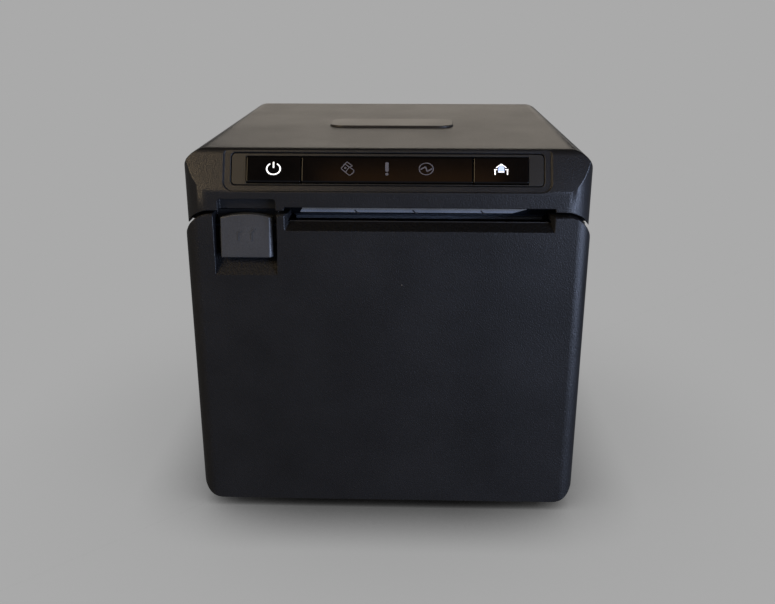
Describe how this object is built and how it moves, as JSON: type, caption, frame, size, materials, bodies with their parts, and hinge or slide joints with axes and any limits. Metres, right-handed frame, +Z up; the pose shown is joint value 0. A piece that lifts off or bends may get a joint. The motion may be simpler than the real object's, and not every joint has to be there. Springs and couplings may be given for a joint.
{
  "type": "receipt printer",
  "caption": "Cube-shaped front-opening thermal receipt printer with a hinged front cover, open lever, paper slot, sloped button panel, platen drive and paper cutter.",
  "frame": {"origin": "centre of the footprint, on the surface that the rubber feet stand on", "axes": "+Z up, front cover facing -Y, +X to the right as seen from the front"},
  "size_m": [0.127, 0.13, 0.1237],
  "materials": {
    "case_black": "fine moulded grain, satin black",
    "inner_black": "plain matte black moulding",
    "lever_grey": "satin dark grey moulding",
    "gloss_black": "polished black",
    "foot_rubber": "soft black rubber",
    "platen_rubber": "ground black rubber",
    "sheet_steel": "plated sheet",
    "blade_steel": "ground blade steel",
    "bright_steel": "turned bright steel",
    "spring_steel": "drawn wire",
    "screw_steel": "dark zinc plate",
    "white_acetal": "white moulded gear plastic",
    "pinion_brass": "cut brass",
    "motor_can": "plated can",
    "sink_aluminium": "extruded",
    "head_ceramic": "glazed alumina",
    "board_green": "solder mask",
    "switch_black": "black component plastic",
    "socket_metal": "plated socket shield",
    "lamp_clear": "clear lamp resin"
  },
  "bodies": {
    "chassis": {"base_plate": "case_black", "rubber_feet": "foot_rubber", "base_screws": "screw_steel", "body_shell": "case_black", "upper_casing": "case_black", "panel_bezel": "inner_black", "indicator_window": "gloss_black", "badge_plate": "case_black", "panel_board": "board_green", "tact_switches": "switch_black", "indicator_lamps": "lamp_clear", "hinge_pins": "bright_steel", "mechanism_frame": "sheet_steel", "frame_screws": "screw_steel", "gear_plate": "sheet_steel", "gear_posts": "bright_steel", "idler_pin": "bright_steel", "feed_motor": "motor_can", "head_pivot_pin": "bright_steel", "head_springs": "spring_steel", "cutter_frame": "inner_black", "cutter_guard": "inner_black", "tear_bar": "sheet_steel", "cutter_motor": "motor_can", "paper_bin": "inner_black", "paper_guide": "inner_black", "paper_sensor": "switch_black", "main_board": "board_green", "power_socket": "switch_black", "usb_socket": "socket_metal", "lan_socket": "socket_metal", "drawer_socket": "switch_black", "connector_plate": "sheet_steel"},
    "cover": {"front_cover": "case_black", "cover_liner": "inner_black", "liner_screws": "screw_steel", "fixed_blade": "blade_steel", "lever_pin": "bright_steel", "lever_spring": "spring_steel", "platen_bushes": "white_acetal"},
    "lever": {"open_lever": "lever_grey"},
    "platen": {"platen_shaft": "bright_steel", "platen_rubber": "platen_rubber", "platen_gear": "white_acetal"},
    "idler": {"idler_gear": "white_acetal"},
    "feed_rotor": {"feed_pinion": "pinion_brass", "feed_shaft": "bright_steel"},
    "head": {"head_heatsink": "sink_aluminium", "thermal_head": "head_ceramic"},
    "cutter_drive": {"cutter_shaft": "bright_steel", "cutter_gear": "white_acetal", "rack_pinions": "white_acetal"},
    "blade": {"moving_blade": "blade_steel"},
    "cutter_rotor": {"cutter_pinion": "pinion_brass", "cutter_motor_shaft": "bright_steel"},
    "power_key": {"power_button": "gloss_black"},
    "feed_key": {"feed_button": "gloss_black"}
  },
  "joints": [
    {"name": "cover_hinge", "type": "hinge", "parent": "chassis", "child": "cover", "pos_m": [0, -0.059, 0.01], "axis": [1, 0, 0], "range_deg": [0, 90]},
    {"name": "lever_lift", "type": "hinge", "parent": "cover", "child": "lever", "pos_m": [-0.0439, -0.0602, 0.099], "axis": [-1, 0, 0], "range_deg": [0, 18], "stiffness_Nm_per_rad": 0.02},
    {"name": "platen_spin", "type": "hinge", "parent": "cover", "child": "platen", "pos_m": [0.01, -0.045, 0.092], "axis": [1, 0, 0], "continuous": true},
    {"name": "idler_spin", "type": "hinge", "parent": "chassis", "child": "idler", "pos_m": [-0.0383, -0.03015, 0.08991], "axis": [1, 0, 0], "continuous": true},
    {"name": "feed_motor_spin", "type": "hinge", "parent": "chassis", "child": "feed_rotor", "pos_m": [-0.0383, -0.0239, 0.07909], "axis": [1, 0, 0], "continuous": true},
    {"name": "head_lift", "type": "hinge", "parent": "chassis", "child": "head", "pos_m": [0.01, -0.0307, 0.09707], "axis": [-1, 0, 0], "range_deg": [0, 2], "stiffness_Nm_per_rad": 0.5, "deforming": ["head_springs"]},
    {"name": "cutter_turn", "type": "hinge", "parent": "chassis", "child": "cutter_drive", "pos_m": [0.01, -0.0479, 0.107], "axis": [1, 0, 0], "range_deg": [0, 114.59]},
    {"name": "blade_slide", "type": "slide", "parent": "chassis", "child": "blade", "axis": [0, 0, -1], "range_m": [0, 0.006]},
    {"name": "cutter_motor_spin", "type": "hinge", "parent": "chassis", "child": "cutter_rotor", "pos_m": [-0.042, -0.03803, 0.11059], "axis": [1, 0, 0], "range_deg": [-286.48, 0]},
    {"name": "power_press", "type": "slide", "parent": "chassis", "child": "power_key", "axis": [0, 0.9153, -0.4027], "range_m": [0, 0.0006], "stiffness_N_per_m": 900},
    {"name": "feed_press", "type": "slide", "parent": "chassis", "child": "feed_key", "axis": [0, 0.9153, -0.4027], "range_m": [0, 0.0006], "stiffness_N_per_m": 900}
  ],
  "couplings": [
    {"joint": "idler_spin", "follows": "platen_spin", "ratio": -0.66667},
    {"joint": "feed_motor_spin", "follows": "platen_spin", "ratio": 1.7143},
    {"joint": "cutter_turn", "follows": "blade_slide", "rad_per_m": 333.33},
    {"joint": "cutter_motor_spin", "follows": "blade_slide", "rad_per_m": -833.33}
  ]
}
